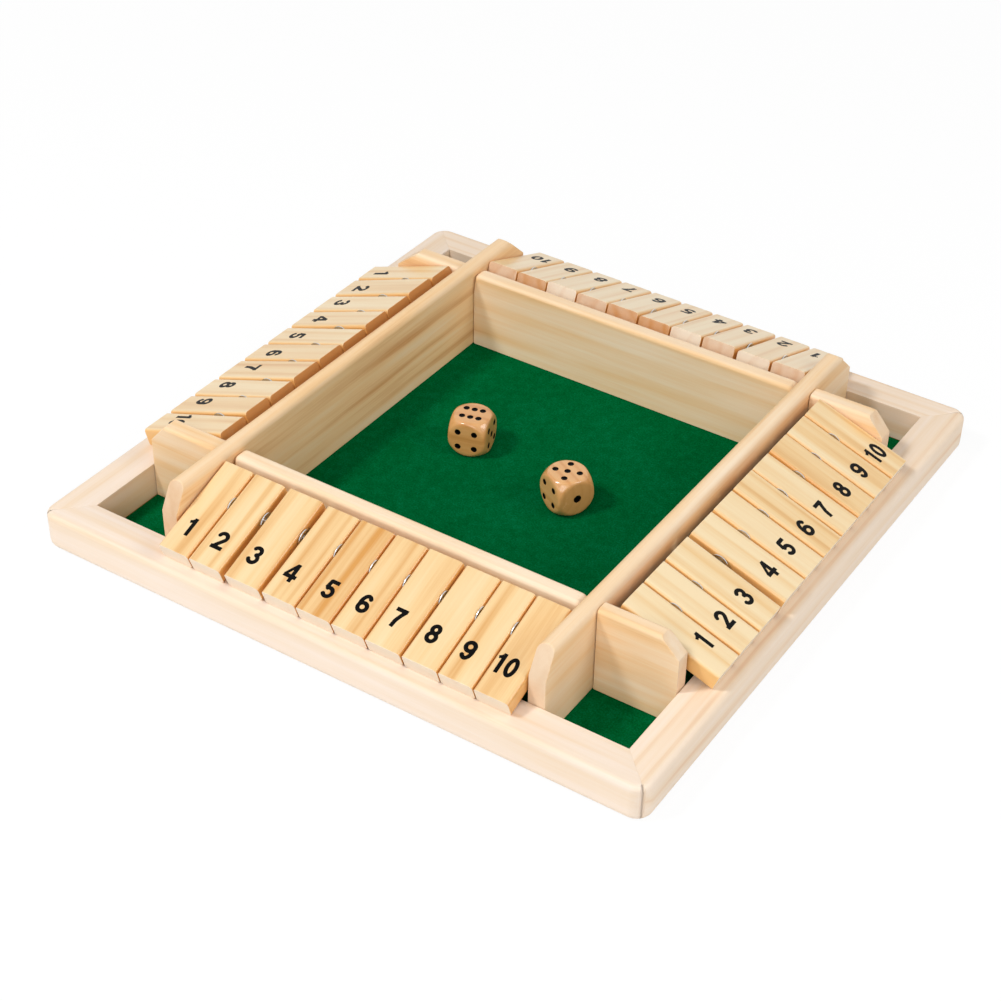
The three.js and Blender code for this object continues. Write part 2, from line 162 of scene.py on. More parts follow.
def pine(name, pale, middle, deep, end_pale, end_deep, ring, ring_share, patch_share, roughness,
         gloss_level):
    """Sawn and sanded pine. ring is the width of one year's growth in millimetres."""
    material, shader = new_material(name)
    tree = material.node_tree
    grain = add(tree, "ShaderNodeAttribute", attribute_name="grain").outputs["Vector"]
    tone, cut_across, side_shade = (
        add(tree, "ShaderNodeAttribute", attribute_name=attribute).outputs["Fac"]
        for attribute in ("tone", "end_grain", "side_shade"))

    def stretched(scale):
        """The place in the plank, stretched along the fibres."""
        return add(tree, "ShaderNodeMapping", {"Vector": grain, "Scale": scale}).outputs["Vector"]

    rings = add(tree, "ShaderNodeTexWave", {
        "Vector": stretched(RING_STRETCH), "Scale": RING_PERIOD_IN_WAVE / ring, "Distortion": 3.2,
        "Detail": 2, "Detail Scale": 0.55, "Detail Roughness": 0.5,
    }, wave_type="RINGS", rings_direction="X", wave_profile="SAW")
    autumn = add(tree, "ShaderNodeValToRGB", {"Fac": rings.outputs["Fac"]})
    set_ramp(autumn, [(place, (level, level, level, 1)) for place, level in YEAR])
    autumn.color_ramp.interpolation = "EASE"
    fibres = noise(tree, stretched(FIBRE_STRETCH), 1, 3, 0.6)
    streaks = noise(tree, stretched(STREAK_STRETCH), 1, 3, 0.55)
    patches = noise(tree, stretched(PATCH_STRETCH), 1, 2)

    depth = share_added(tree, streaks, STREAK_SHARE, tone)
    depth = share_added(tree, autumn.outputs["Color"], ring_share, depth)
    depth = share_added(tree, patches, patch_share, depth)
    depth = share_added(tree, fibres, FIBRE_SHARE, depth)
    usual = (ring_share + patch_share) / 2
    shown = add(tree, "ShaderNodeMapRange", {
        "Value": depth, "From Min": usual + PALEST, "From Max": usual + DEEPEST,
    }).outputs["Result"]
    face = add(tree, "ShaderNodeValToRGB", {"Fac": shown})
    set_ramp(face, [(0.0, colour(pale)), (0.45, colour(middle)), (1.0, colour(deep))])
    aged = add(tree, "ShaderNodeMapRange", {
        "Value": tone, "From Min": -0.25, "From Max": 0.8, "To Min": -0.1, "To Max": 0.7,
    }).outputs["Result"]
    end = add(tree, "ShaderNodeValToRGB", {"Fac": share_added(tree, shown, END_PATTERN_SHARE, aged)})
    set_ramp(end, [(0.0, colour(end_pale)), (0.8, colour(end_deep))])
    wood = add(tree, "ShaderNodeMix", {
        0: cut_across, 6: face.outputs["Color"], 7: end.outputs["Color"],
    }, data_type="RGBA")
    # Painted shade: sides that face a neighbouring tile are multiplied by the tint, for the shade in the
    # gaps
    shaded_sides = add(tree, "ShaderNodeMix", {0: side_shade, 6: wood.outputs[2], 7: colour(SIDE_SHADE_TINT)},
                  data_type="RGBA", blend_type="MULTIPLY")
    tree.links.new(shaded_sides.outputs[2], shader.inputs["Base Color"])

    gloss = add(tree, "ShaderNodeMapRange", {
        "Value": depth, "To Min": roughness + GLOSS_SPREAD, "To Max": roughness - GLOSS_SPREAD,
    })
    tree.links.new(gloss.outputs["Result"], shader.inputs["Roughness"])
    relief = add(tree, "ShaderNodeBump", {"Height": fibres, "Strength": 0.2, "Distance": FIBRE_RELIEF})
    tree.links.new(relief.outputs["Normal"], shader.inputs["Normal"])
    set_shader(material, {"Specular IOR Level": gloss_level})
    return material


# The frame: pale creamy pine, planed and left with a thin matt sealer
rail_pine = pine("rail_pine_sealed", "FBEADA", "F6DEC2", "E0AA74", "F3DAC0", "DDAE80",
                 ring=6.5, ring_share=0.3, patch_share=0.7, roughness=0.6, gloss_level=0.3)
# The boards of the tray: the same finish on a warmer plank with wider rings
board_pine = pine("board_pine_sealed", "FFE8CA", "F8D09C", "CA803E", "F2DCC0", "D6A574",
                  ring=9.0, ring_share=0.25, patch_share=0.9, roughness=0.58, gloss_level=0.3)
# The tiles: honey-coloured pine with a satin varnish. Fresh sawn ends are nearly white and old ones
# have gone a burnt orange, which is the whole range of the two end colours
tile_pine = pine("tile_pine_satin_varnish", "F9E0B3", "F1CB90", "D6953F", "F2E2CC", "D0904F",
                 ring=8.0, ring_share=0.4, patch_share=0.9, roughness=0.42, gloss_level=0.5)
set_shader(tile_pine, {"Coat Weight": 0.6, "Coat Roughness": 0.3})
# The dice: a denser, browner wood, tumbled and dipped in clear gloss lacquer
dice_wood = pine("dice_wood_gloss_lacquer", "E9B679", "DDA05F", "B97434", "E2AC6E", "BF8244",
                 ring=4.5, ring_share=0.35, patch_share=0.5, roughness=0.3, gloss_level=0.5)
set_shader(dice_wood, {"Coat Weight": 0.6, "Coat Roughness": 0.12})
print("wood finishes:", [wood.name for wood in (rail_pine, board_pine, tile_pine, dice_wood)])

# %% [markdown]
# ## Felt
#
# Craft felt is wool or polyester fibre matted into a sheet, so it has no weave. Close up, thousands
# of short fibres cross at all angles and catch the light as fine flecks. Three sizes of noise make
# them: single fibres, the clumps they mat into, and slow clouds where the nap was pressed. Felt
# swallows light between its fibres, so it has no gloss at all, and its green stays deep.

# %% Felt
FLECK_SIZE = 0.8 * MM
CLUMP_SIZE = 4 * MM
CLOUD_SIZE = 45 * MM
NAP_RELIEF = 0.4 * MM

felt, felt_shader = new_material("craft_felt_green")
felt_tree = felt.node_tree
felt_place = add(felt_tree, "ShaderNodeTexCoord").outputs["Object"]
fleck = noise(felt_tree, felt_place, 1 / FLECK_SIZE, 4, 0.75)
clump = noise(felt_tree, felt_place, 1 / CLUMP_SIZE, 3, 0.6)
cloud = noise(felt_tree, felt_place, 1 / CLOUD_SIZE, 1)
matted = share_added(felt_tree, clump, 0.35, fleck)
napped = add(felt_tree, "ShaderNodeMapRange", {
    "Value": share_added(felt_tree, cloud, 0.15, matted), "From Min": 0.5, "From Max": 1.0,
})
felt_tone = add(felt_tree, "ShaderNodeValToRGB", {"Fac": napped.outputs["Result"]})
set_ramp(felt_tone, [(0.0, colour("00481F")), (0.5, colour("005F2F")), (1.0, colour("07764A"))])
felt_tree.links.new(felt_tone.outputs["Color"], felt_shader.inputs["Base Color"])
felt_relief = add(felt_tree, "ShaderNodeBump", {
    "Height": matted, "Strength": 0.5, "Distance": NAP_RELIEF,
})
felt_tree.links.new(felt_relief.outputs["Normal"], felt_shader.inputs["Normal"])
set_shader(felt, {"Roughness": 0.95, "Specular IOR Level": 0.0})
print("made", felt.name)

# %% [markdown]
# ## Steel, hardboard, ink and paint
#
# The rods and washers are bright plated steel, so nearly all of their look is what they mirror. The
# base is hardboard, wood fibre pressed to a brown sheet. The numbers are screen-printed ink and the
# pips a drop of enamel. Both are black, but the ink is dull, and its dusty surface turns grey where
# it is seen at a low angle, which the shader's sheen gives.

# %% Steel, hardboard, ink and paint
def mottled(name, low, high, size, roughness, metallic=0.0, gloss_level=0.5):
    """A finish whose tone drifts a little between two colours over a size in metres."""
    material, shader = new_material(name)
    tree = material.node_tree
    place = add(tree, "ShaderNodeTexCoord").outputs["Object"]
    drift = noise(tree, place, 1 / size, 4, 0.65)
    tone = add(tree, "ShaderNodeValToRGB", {"Fac": drift})
    set_ramp(tone, [(0.3, colour(low)), (0.7, colour(high))])
    tree.links.new(tone.outputs["Color"], shader.inputs["Base Color"])
    polish = add(tree, "ShaderNodeMapRange", {
        "Value": drift, "To Min": roughness * 0.8, "To Max": roughness * 1.2,
    })
    tree.links.new(polish.outputs["Result"], shader.inputs["Roughness"])
    set_shader(material, {"Metallic": metallic, "Specular IOR Level": gloss_level})
    return material


plated_steel = mottled("plated_steel", "C9CCD0", "E2E4E6", 0.9 * MM, 0.16, metallic=1.0)
hardboard = mottled("hardboard_pressed", "8A6238", "A9793F", 1.6 * MM, 0.75)
printing_ink = mottled("screen_printing_ink_black", "020202", "070707", 1.2 * MM, 0.5, gloss_level=0.0)
set_shader(printing_ink, {"Sheen Weight": 0.22})
pip_enamel = mottled("pip_enamel_black", "030202", "090706", 1.5 * MM, 0.3, gloss_level=0.05)
print("materials:", len(bpy.data.materials))

# %% [markdown]
# ## Working on a piece
#
# Each wooden piece replaces a CAD node of the same size, so the first helper reads that size from
# the node itself: the direction of a block's widest faces, of its next widest, and the third at
# right angles. It works for a tile that slopes on its rod as well as for a board that stands square.
#
# Shapes are then made as a joiner makes them: saw a block, round its edges, drill it. Boolean
# modifiers do the drilling, and each is applied at once, so that what follows works on a plain mesh.

# %% Helpers for pieces
TOUCH = 1e-6
MERGE = 1e-7
ROD_SIDES = 40
ARRIS = 0.35 * MM
ARRIS_ANGLE = math.radians(35)
PLANK_REACH = 900
SAWN_END = 0.7  # how far a face has to look along the fibres to count as a sawn end


def largest_first(node):
    """The directions in which a node's faces look, in order of their area."""
    areas = {}
    for face in nodes[node].data.polygons:
        normal = face.normal.copy()
        if normal[max(range(3), key=lambda axis: abs(normal[axis]))] < 0:
            normal.negate()
        key = tuple(round(value, 2) for value in normal)
        area, total = areas.get(key, (0.0, Vector()))
        areas[key] = (area + face.area, total + normal * face.area)
    return [total.normalized() for area, total in sorted(areas.values(), key=lambda row: -row[0])]


def block_of(node):
    """A block-shaped node's centre, its three axes from the widest faces down, and its size."""
    directions = largest_first(node)
    first = directions[0]
    second = next(d for d in directions if abs(d.dot(first)) < 0.01)
    axes = (first, second, first.cross(second).normalized())
    points = [vertex.co for vertex in nodes[node].data.vertices]
    reaches = [[point.dot(axis) for point in points] for axis in axes]
    centre = sum((axis * (min(r) + max(r)) / 2 for axis, r in zip(axes, reaches)), Vector())
    return centre, axes, [max(r) - min(r) for r in reaches]


def box_of(node):
    """A node's middle and size along X, Y and Z."""
    low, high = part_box(node)
    return (low + high) / 2, high - low


def turned(axes, centre):
    """The matrix that carries X, Y and Z to the three axes, and the origin to the centre."""
    return Matrix.Translation(centre) @ Matrix(axes).transposed().to_4x4()


def bar(size):
    """A block of the given size about the origin, as a bmesh."""
    bm = bmesh.new()
    bmesh.ops.create_cube(bm, size=1.0)
    bmesh.ops.scale(bm, vec=size, verts=bm.verts)
    return bm


def round_edges(bm, radius, segments, chosen):
    """Rounds the edges for which chosen(edge) holds."""
    edges = [edge for edge in bm.edges if chosen(edge)]
    bmesh.ops.bevel(bm, geom=edges, offset=radius, offset_type="OFFSET", segments=segments,
                    profile=0.5, affect="EDGES", material=-1, clamp_overlap=True)


def runs_along(edge, axis):
    """Whether an edge runs along one of the three axes."""
    direction = (edge.verts[1].co - edge.verts[0].co).normalized()
    return abs(direction[axis]) > 0.999


def saw(bm, point, direction):
    """Cuts off all that lies beyond a plane, and closes the cut."""
    cut = bmesh.ops.bisect_plane(bm, geom=bm.verts[:] + bm.edges[:] + bm.faces[:], dist=MERGE,
                                 plane_co=point, plane_no=direction, clear_outer=True)
    rim = [item for item in cut["geom_cut"] if isinstance(item, bmesh.types.BMEdge)]
    bmesh.ops.holes_fill(bm, edges=rim)


def piece_from(bm, name):
    """A new object from a bmesh, with its doubles merged and its faces turned outwards."""
    bmesh.ops.remove_doubles(bm, verts=bm.verts, dist=MERGE)
    bmesh.ops.recalc_face_normals(bm, faces=bm.faces)
    mesh = bpy.data.meshes.new(name)
    bm.to_mesh(mesh)
    bm.free()
    piece = bpy.data.objects.new(name, mesh)
    bpy.context.scene.collection.objects.link(piece)
    return piece


def apply_modifiers(piece):
    """Makes what the modifiers show the piece's own mesh."""
    bpy.context.view_layer.update()
    shown = piece.evaluated_get(bpy.context.evaluated_depsgraph_get())
    mesh = bpy.data.meshes.new_from_object(shown)
    piece.modifiers.clear()
    piece.data = mesh


def combine(piece, tool, operation="DIFFERENCE"):
    """Drills, cuts or keeps what the tool covers, and takes the tool away."""
    step = piece.modifiers.new("tool", "BOOLEAN")
    step.operation = operation
    step.object = tool
    step.solver = "EXACT"
    step.material_mode = "TRANSFER"
    apply_modifiers(piece)
    bpy.data.objects.remove(tool)


def ease(piece):
    """Takes the sharpness off every arris, as a pass with fine sandpaper does."""
    step = piece.modifiers.new("ease", "BEVEL")
    step.width = ARRIS
    step.segments = 2
    step.limit_method = "ANGLE"
    step.angle_limit = ARRIS_ANGLE
    apply_modifiers(piece)


def upright_to(direction):
    """The matrix that turns Z to a direction."""
    return Vector((0, 0, 1)).rotation_difference(direction).to_matrix().to_4x4()


def drill_bit(centre, direction, radius, length):
    """A cylinder to drill with, or to shape into a rod."""
    bm = bmesh.new()
    bmesh.ops.create_cone(bm, cap_ends=True, segments=ROD_SIDES, radius1=radius, radius2=radius,
                          depth=length)
    bmesh.ops.transform(bm, matrix=Matrix.Translation(centre) @ upright_to(direction), verts=bm.verts)
    return bm


def climb(value, start, end):
    """0 up to the start, 1 from the end on, and a straight climb between them."""
    return min(max((value - start) / (end - start), 0), 1)


def face_values(piece, name, value_of):
    """Gives each face of a piece a value, as an attribute that the pine material reads."""
    layer = piece.data.attributes.new(name, "FLOAT", "FACE")
    for face, item in zip(piece.data.polygons, layer.data):
        item.value = value_of(face.normal)


def lay_grain(piece, centre, axes, seed, tone, pith, end_tones=None, side_shade=0.0):
    """Says where in a plank a piece was cut: along the fibres, across them, and through the plank.

    pith is the least and the most distance from the pith, in millimetres. The two sawn ends may have
    tones of their own, the end where the fibres start first. The last argument is painted shade: how
    deeply the sides are tinted for the shade in the gaps between neighbouring pieces.
    """
    chance = random.Random(seed)
    angle = chance.uniform(0, 2 * math.pi)
    distance = chance.uniform(*pith)
    start = Vector((chance.uniform(-PLANK_REACH, PLANK_REACH), distance * math.cos(angle),
                    distance * math.sin(angle)))
    along, across = Vector(axes[0]), Vector(axes[1])
    start_tone, far_tone = end_tones or (tone, tone)
    grain = piece.data.attributes.new("grain", "FLOAT_VECTOR", "POINT")
    for vertex, item in zip(piece.data.vertices, grain.data):
        place = (vertex.co - centre) / MM
        item.vector = start + Vector([place.dot(axis) for axis in axes])
    face_values(piece, "end_grain", lambda normal: climb(abs(normal.dot(along)), 0.5, 0.9))
    face_values(piece, "tone", lambda normal: far_tone if normal.dot(along) > SAWN_END
                else start_tone if normal.dot(along) < -SAWN_END else tone)
    face_values(piece, "side_shade", lambda normal: side_shade * climb(abs(normal.dot(across)), 0.3, 0.9))


def hand_over(piece, node, material):
    """Smooths a finished piece, gives it its finish, and lets it stand for its CAD node."""
    piece.data.polygons.foreach_set("use_smooth", [True] * len(piece.data.polygons))
    shade = piece.modifiers.new("flat_faces_stay_flat", "WEIGHTED_NORMAL")
    shade.mode = "FACE_AREA"
    if not any(piece.data.materials):
        piece.data.materials.clear()
        piece.data.materials.append(material)
        piece.data.polygons.foreach_set("material_index", [0] * len(piece.data.polygons))
    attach(piece, body_of[node])
    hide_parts(node)


# %% [markdown]
# ## The frame
#
# A frame like this is moulded stock, mitred, glued and then sanded at its corners as one ring. So
# the ring is made first: a block with its corners rounded, its top and foot rounded after that, and
# the opening and the rebate for the base taken out. Only then is it sawn along the mitres, which
# keeps the rounded corner running unbroken over the joint. Each rail gets its own grain, along its
# own length, and the eased saw cuts show as the hairline at each corner.

# %% Frame rails
RAIL_CORNER = (7.5 * MM, 10)  # a radius and its number of facets, here and in the cells below
RAIL_TOP = (2.4 * MM, 5)
RAIL_FOOT = (4 * MM, 6)
REBATE_PLAY = 0.3 * MM
REBATE_LIFT = 0.2 * MM
MITRE_GAP = 0.05 * MM
PLANK_PITH = (30, 60)
SIDES = ("front", "right", "back", "left")

rail_low, rail_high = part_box("rail_front")
base_low, base_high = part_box("base_board")
outer, inner, rail_height = -rail_low.y, -rail_high.y, rail_high.z
bm = bar((2 * outer, 2 * outer, rail_height))
round_edges(bm, *RAIL_CORNER, lambda edge: runs_along(edge, 2))
for plane, rounding in ((rail_height / 2, RAIL_TOP), (-rail_height / 2, RAIL_FOOT)):
    round_edges(bm, *rounding,
                lambda edge: all(abs(vertex.co.z - plane) < TOUCH for vertex in edge.verts))
bmesh.ops.translate(bm, vec=(0, 0, rail_height / 2), verts=bm.verts)
ring = piece_from(bm, "frame_ring")
combine(ring, piece_from(bar((2 * inner, 2 * inner, 3 * rail_height)), "opening"))
rebate_side = 2 * (base_high.x + REBATE_PLAY)
combine(ring, piece_from(bar((rebate_side, rebate_side, 2 * (base_high.z + REBATE_LIFT))), "rebate"))
ease(ring)

# Painted shade, in part: the right rail's deeper tone also stands in for the shadow of the tiles on its
# top and the shade on its outer face
RAIL_TONES = {"front": -0.05, "right": 0.16, "back": 0.12, "left": 0.05}
RAIL_SEEDS = {"front": 11, "right": 23, "back": 35, "left": 47}
for turns, side in enumerate(SIDES):
    turn = Matrix.Rotation(turns * math.pi / 2, 3, "Z")
    bm = bmesh.new()
    bm.from_mesh(ring.data)
    for lean in (1, -1):
        direction = turn @ Vector((lean, 1, 0)).normalized()
        saw(bm, direction * -MITRE_GAP / 2, direction)
    rail = piece_from(bm, f"frame_{side}")
    middle = turn @ Vector((0, -(outer + inner) / 2, rail_height / 2))
    axes = [turn @ Vector(axis) for axis in ((1, 0, 0), (0, 1, 0), (0, 0, 1))]
    lay_grain(rail, middle, axes, RAIL_SEEDS[side], RAIL_TONES[side], PLANK_PITH)
    hand_over(rail, f"rail_{side}", rail_pine)
bpy.data.objects.remove(ring)
print("frame mm:", round(2 * outer / MM, 1), "across and", round(rail_height / MM, 1), "high")

# %% [markdown]
# ## The upright boards
#
# Two long walls run past the tray's corners out to the frame, and carry the ends of the front and
# back rods. Two short walls close the tray between them. Four cheeks stand in line with the short
# walls and carry the side rods. Each is a plain board: its top is rounded along both edges, its
# free end is sawn off at a slant, and blind holes take the rods. The box of the CAD node gives the
# size, so only the roundings and slants are named here.

# %% Board helpers
ALONG_X = ((1, 0, 0), (0, 1, 0), (0, 0, 1))  # fibres, width and thickness of the plank
ALONG_Y = ((0, 1, 0), (1, 0, 0), (0, 0, 1))
ROD_HOLE_PLAY = 0.15 * MM
ROD_END_PLAY = 0.3 * MM
HOLE_LEAD = 1 * MM


def round_top(bm, size, along, radius, segments):
    """Rounds the edges of a board's top that run along one axis."""
    round_edges(bm, radius, segments, lambda edge: runs_along(edge, along)
                and edge.verts[0].co.z > size.z / 2 - TOUCH)


def slant(bm, size, along, end, run, drop):
    """Saws a board's top corner off at one end: run is measured along the board, drop down it."""
    point = Vector((0, 0, size.z / 2 - drop))
    direction = Vector((0, 0, run))
    point[along] = end * size[along] / 2
    direction[along] = end * drop
    saw(bm, point, direction.normalized())


def rod_line(rod):
    """A rod's middle, its length, the axis that it runs along, and the radius at its very ends."""
    middle, size = box_of(rod)
    along = max(range(3), key=lambda axis: size[axis])
    end = middle[along] + size[along] / 2
    tips = [v.co for v in nodes[rod].data.vertices if abs(v.co[along] - end) < TOUCH]
    return middle, size[along], along, max(abs(tip.z - middle.z) for tip in tips)


def drill_for(piece, rod, end):
    """Drills a blind hole for one end of a rod. end is 1 for its high end and -1 for its low one."""
    middle, length, along, radius = rod_line(rod)
    places = [vertex.co[along] for vertex in piece.data.vertices]
    inner_face = min(places) if end > 0 else max(places)
    tip = middle[along] + end * (length / 2 + ROD_END_PLAY)
    start = inner_face - end * HOLE_LEAD
    centre = middle.copy()
    centre[along] = (start + tip) / 2
    direction = Vector()
    direction[along] = 1
    bit = drill_bit(centre, direction, radius + ROD_HOLE_PLAY, abs(tip - start))
    combine(piece, piece_from(bit, "bit"))


# %% Long walls
LONG_WALL_TOP = (3.4 * MM, 6)
LONG_WALL_DROP = 12.8 * MM
LONG_WALL_FRONT_RUN = 7 * MM
LONG_WALL_BACK_RUN = 14 * MM
LONG_WALLS = (("left", -1, 5, 0.25), ("right", 1, 9, 0.05))  # side, end of the rods, seed, tone

for side, end, seed, tone in LONG_WALLS:
    centre, size = box_of(f"long_wall_{side}")
    bm = bar(size)
    round_top(bm, size, 1, *LONG_WALL_TOP)
    slant(bm, size, 1, -1, LONG_WALL_FRONT_RUN, LONG_WALL_DROP)
    slant(bm, size, 1, 1, LONG_WALL_BACK_RUN, LONG_WALL_DROP)
    bmesh.ops.translate(bm, vec=centre, verts=bm.verts)
    wall = piece_from(bm, f"tray_wall_{side}")
    for rod in ("rod_front", "rod_back"):
        drill_for(wall, rod, end)
    ease(wall)
    lay_grain(wall, centre, ALONG_Y, seed, tone, PLANK_PITH)
    hand_over(wall, f"long_wall_{side}", board_pine)
print("long wall mm:", [round(value / MM, 1) for value in size])

# %% Short walls and cheeks
SHORT_WALL_TOP = (2.2 * MM, 5)
SHORT_WALL_END = (3 * MM, 4)
SHORT_WALLS = (("front", 3, -0.12), ("back", 14, -0.02))  # side, seed, tone
CHEEK_TOP = (1.8 * MM, 6)
CHEEK_PITH = (12, 30)
CHEEK_TONE = 0.08
CHEEK_SEEDS = {"front_left": 71, "front_right": 64, "back_left": 83, "back_right": 92}
CHEEK_SLANTS = {  # how far the slant runs along the cheek, and how far down it drops
    "front_left": (8.2 * MM, 9.6 * MM), "front_right": (9.0 * MM, 8.5 * MM),
    "back_left": (12.0 * MM, 9.6 * MM), "back_right": (8.2 * MM, 9.6 * MM),
}

for side, seed, tone in SHORT_WALLS:
    centre, size = box_of(f"short_wall_{side}")
    bm = bar(size)
    round_top(bm, size, 1, *SHORT_WALL_END)
    lowest = size.z / 2 - SHORT_WALL_END[0] - TOUCH
    round_edges(bm, *SHORT_WALL_TOP, lambda edge: not runs_along(edge, 1) and not runs_along(edge, 2)
                and min(vertex.co.z for vertex in edge.verts) > lowest)
    bmesh.ops.translate(bm, vec=centre, verts=bm.verts)
    wall = piece_from(bm, f"tray_wall_{side}")
    ease(wall)
    lay_grain(wall, centre, ALONG_X, seed, tone, PLANK_PITH)
    hand_over(wall, f"short_wall_{side}", board_pine)

for place, seed in CHEEK_SEEDS.items():
    fore, side = place.split("_")
    outward = 1 if side == "right" else -1
    centre, size = box_of(f"cheek_{place}")
    bm = bar(size)
    round_top(bm, size, 0, *CHEEK_TOP)
    slant(bm, size, 0, outward, *CHEEK_SLANTS[place])
    bmesh.ops.translate(bm, vec=centre, verts=bm.verts)
    cheek = piece_from(bm, f"rod_cheek_{place}")
    drill_for(cheek, f"rod_{side}", 1 if fore == "back" else -1)
    ease(cheek)
    lay_grain(cheek, centre, ALONG_X, seed, CHEEK_TONE, CHEEK_PITH)
    hand_over(cheek, f"cheek_{place}", board_pine)
print("short walls and cheeks:", len(SHORT_WALLS) + len(CHEEK_SEEDS))

# %% [markdown]
# ## Rods and washers
#
# Four bright steel rods carry the tiles. Thin washers between the tiles keep them from rubbing, and
# because a washer is a little wider than a tile is thick, each glints in the valley between two
# tiles. A washer is a spin: a small rectangle swept once round the rod's axis.

# %% Rods and washers
ROD_TIP = (0.4 * MM, 2)
WASHER_RADIUS = 4.6 * MM
WASHER_BORE = 2.0 * MM
WASHER_THICKNESS = 0.4 * MM
TILES_PER_SIDE = 10


def washer(centre, along):
    """One flat washer round an axis, as a bmesh."""
    bm = bmesh.new()
    bmesh.ops.create_grid(bm, x_segments=1, y_segments=1, size=0.5)
    width = WASHER_RADIUS - WASHER_BORE
    bmesh.ops.scale(bm, vec=(width, WASHER_THICKNESS, 1), verts=bm.verts)
    bmesh.ops.rotate(bm, cent=(0, 0, 0), matrix=Matrix.Rotation(math.pi / 2, 3, "X"), verts=bm.verts)
    bmesh.ops.translate(bm, vec=(WASHER_BORE + width / 2, 0, 0), verts=bm.verts)
    bmesh.ops.delete(bm, geom=bm.faces[:], context="FACES_ONLY")
    bmesh.ops.spin(bm, geom=bm.verts[:] + bm.edges[:], cent=(0, 0, 0), axis=(0, 0, 1),
                   angle=2 * math.pi, steps=ROD_SIDES, use_merge=True)
    bmesh.ops.transform(bm, matrix=Matrix.Translation(centre) @ upright_to(along), verts=bm.verts)
    return bm


for side in SIDES:
    node = f"rod_{side}"
    middle, length, axis, radius = rod_line(node)
    along = Vector()
    along[axis] = 1
    bm = drill_bit(middle, along, radius, length)
    tips = {edge for edge in bm.edges
            if all(abs(abs((v.co - middle).dot(along)) - length / 2) < TOUCH for v in edge.verts)}
    round_edges(bm, *ROD_TIP, lambda edge: edge in tips)
    hand_over(piece_from(bm, f"steel_rod_{side}"), node, plated_steel)
    for gap in range(1, TILES_PER_SIDE):
        low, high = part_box(f"tile_{side}_{gap:02d}")
        next_low, next_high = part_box(f"tile_{side}_{gap + 1:02d}")
        place = middle.copy()
        place[axis] = (min(high[axis], next_high[axis]) + max(low[axis], next_low[axis])) / 2
        spacer = piece_from(washer(place, along), f"washer_{side}_{gap:02d}")
        spacer.data.materials.append(plated_steel)
        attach(spacer, body_of[node])
print("rod diameter mm:", round(2 * radius / MM, 2), "washers:", len(SIDES) * (TILES_PER_SIDE - 1))

# %% [markdown]
# ## Flip tiles
#
# A tile is a strip of pine with its long edges rounded, its ends eased, and one hole drilled across
# it. Forty of them are alike but never equal: the wood of each comes from another place in the
# plank, and some strips were sawn a little darker. The tones below run from tile 1 to tile 10 and
# follow the real rows, where pale and deep orange strips lie side by side. Some of it is painted
# light: the back and left rows are set paler than the front row, partly for the whitish haze that
# their varnish shows at a low angle, the heels of the left row are set deeper, partly for the shade
# they face into, and the sides of every tile take a deeper tint, for the shade in the gaps.

# %% Flip tiles
TILE_EDGE = (1.45 * MM, 5)
TILE_END = (1.0 * MM, 3)
TILE_PITH = (14, 40)
TILE_BORE_PLAY = 0.06 * MM
# Painted light, in part: the back and left rows are set paler than the front, a painted reflection of the
# whitish haze their varnish shows at a low angle
TILE_TONES = {
    "front": (0.26, 0.3, 0.26, 0.38, 0.64, 0.46, 0.24, 0.38, 0.18, 0.16),
    "right": (-0.1, -0.12, 0.02, -0.2, -0.16, 0.16, 0.04, 0.06, 0.0, 0.16),
    "back": (-0.04, 0.04, 0.06, -0.04, 0.04, -0.06, -0.02, -0.04, 0.06, -0.04),
    "left": (0.06, 0.1, -0.04, 0.1, 0.06, 0.26, 0.2, -0.04, 0.16, 0.1),
}
TOE_TONE = -0.2
# Painted shade, in part: the left row's heels face the tray, away from the main lamp, and are set much
# deeper
HEEL_TONES = {"front": (0, 0.4), "right": (0, 0.4), "back": (-0.15, 0.5), "left": (0.6, 1.1)}
# Painted shade: how strongly the sides of the tiles take the deeper tint, for the shade between them
SIDE_SHADE_SHARE = 1.0
FIRST_TILE_SEED = 100


def tile_frame(side, number):
    """A tile's centre, its directions to the right, to the tray and up from its face, and its size."""
    node = f"tile_{side}_{number:02d}"
    centre, (up, right, inward), (thickness, width, length) = block_of(node)
    rod_middle = box_of(f"rod_{side}")[0]
    up = up if up.z > 0 else -up
    inward = inward if (centre - rod_middle).dot(inward) < 0 else -inward
    right = inward.cross(up)
    return node, centre, (right, inward, up), Vector((width, length, thickness))


seed = FIRST_TILE_SEED
for side in SIDES:
    rod_middle, _, _, radius = rod_line(f"rod_{side}")
    for number in range(1, TILES_PER_SIDE + 1):
        node, centre, axes, size = tile_frame(side, number)
        right, inward, up = axes
        bm = bar(size)
        round_edges(bm, *TILE_EDGE, lambda edge: runs_along(edge, 1))
        round_edges(bm, *TILE_END, lambda edge: all(abs(abs(v.co.y) - size.y / 2) < TOUCH
                                                    for v in edge.verts))
        bmesh.ops.transform(bm, matrix=turned(axes, centre), verts=bm.verts)
        tile = piece_from(bm, f"flip_tile_{side}_{number:02d}")
        bore_centre = rod_middle + right * (centre - rod_middle).dot(right)
        bit = drill_bit(bore_centre, right, radius + TILE_BORE_PLAY, size.x + 2 * HOLE_LEAD)
        combine(tile, piece_from(bit, "bit"))
        heel_tone = random.Random(seed).uniform(*HEEL_TONES[side])
        lay_grain(tile, centre, (inward, right, up), seed, TILE_TONES[side][number - 1], TILE_PITH,
                  (TOE_TONE, heel_tone), SIDE_SHADE_SHARE)
        hand_over(tile, node, tile_pine)
        seed += 1
print("tiles:", seed - FIRST_TILE_SEED, "size mm:", [round(value / MM, 1) for value in size])

